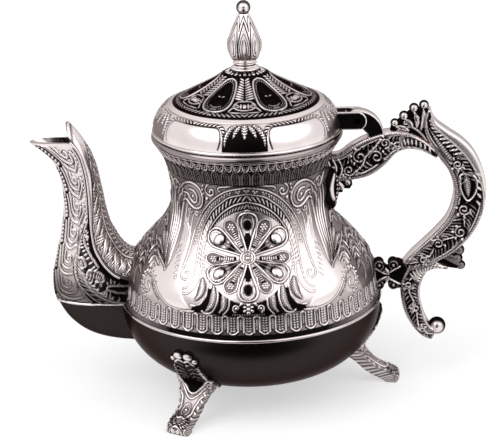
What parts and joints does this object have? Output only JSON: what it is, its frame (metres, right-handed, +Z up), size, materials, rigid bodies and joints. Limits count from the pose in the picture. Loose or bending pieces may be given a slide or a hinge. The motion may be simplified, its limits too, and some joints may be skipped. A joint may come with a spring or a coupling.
{
  "type": "coffee pot",
  "caption": "Footed metal pot with a curved spout, a scrolled cast handle, three feet and a domed lid that swings open on a hinge.",
  "frame": {"origin": "on the axis of the pot's round body, on the surface it stands on", "axes": "+X towards the handle, -X towards the spout, +Z up; the XZ plane is the mirror plane"},
  "size_m": [0.2401, 0.144, 0.2127],
  "materials": {
    "embossed_silver": "bright plate over embossed sheet, recesses antiqued dark",
    "cast_silver": "cast, plated and antiqued",
    "dark_nickel": "smooth polished dark nickel",
    "bright_rim": "polished plate",
    "black_plate": "polished black nickel",
    "steel_fixings": "plain"
  },
  "bodies": {
    "pot": {"base_bowl": "dark_nickel", "belly_shell": "embossed_silver", "seam_ring": "bright_rim", "rim_collar": "bright_rim", "spout_front_shell": "embossed_silver", "spout_back_cover": "embossed_silver", "spout_base": "dark_nickel", "spout_flange": "bright_rim", "handle": "cast_silver", "handle_leaf": "cast_silver", "lower_bracket": "cast_silver", "handle_screws": "steel_fixings", "foot_rear": "cast_silver", "foot_front_left": "cast_silver", "foot_front_right": "cast_silver", "foot_screws": "steel_fixings", "hinge_lug": "black_plate", "hinge_pin": "black_plate"},
    "lid": {"lid_arm": "black_plate", "lid_shell": "embossed_silver", "lid_lining": "bright_rim", "finial_collar": "cast_silver", "finial_bud": "cast_silver", "finial_ball": "cast_silver", "finial_stud": "steel_fixings", "finial_washer": "steel_fixings", "finial_nut": "steel_fixings"}
  },
  "joints": [
    {"name": "lid_hinge", "type": "hinge", "parent": "pot", "child": "lid", "pos_m": [0.0579, 0, 0.1483], "axis": [0, 1, 0], "range_deg": [0, 95]}
  ]
}
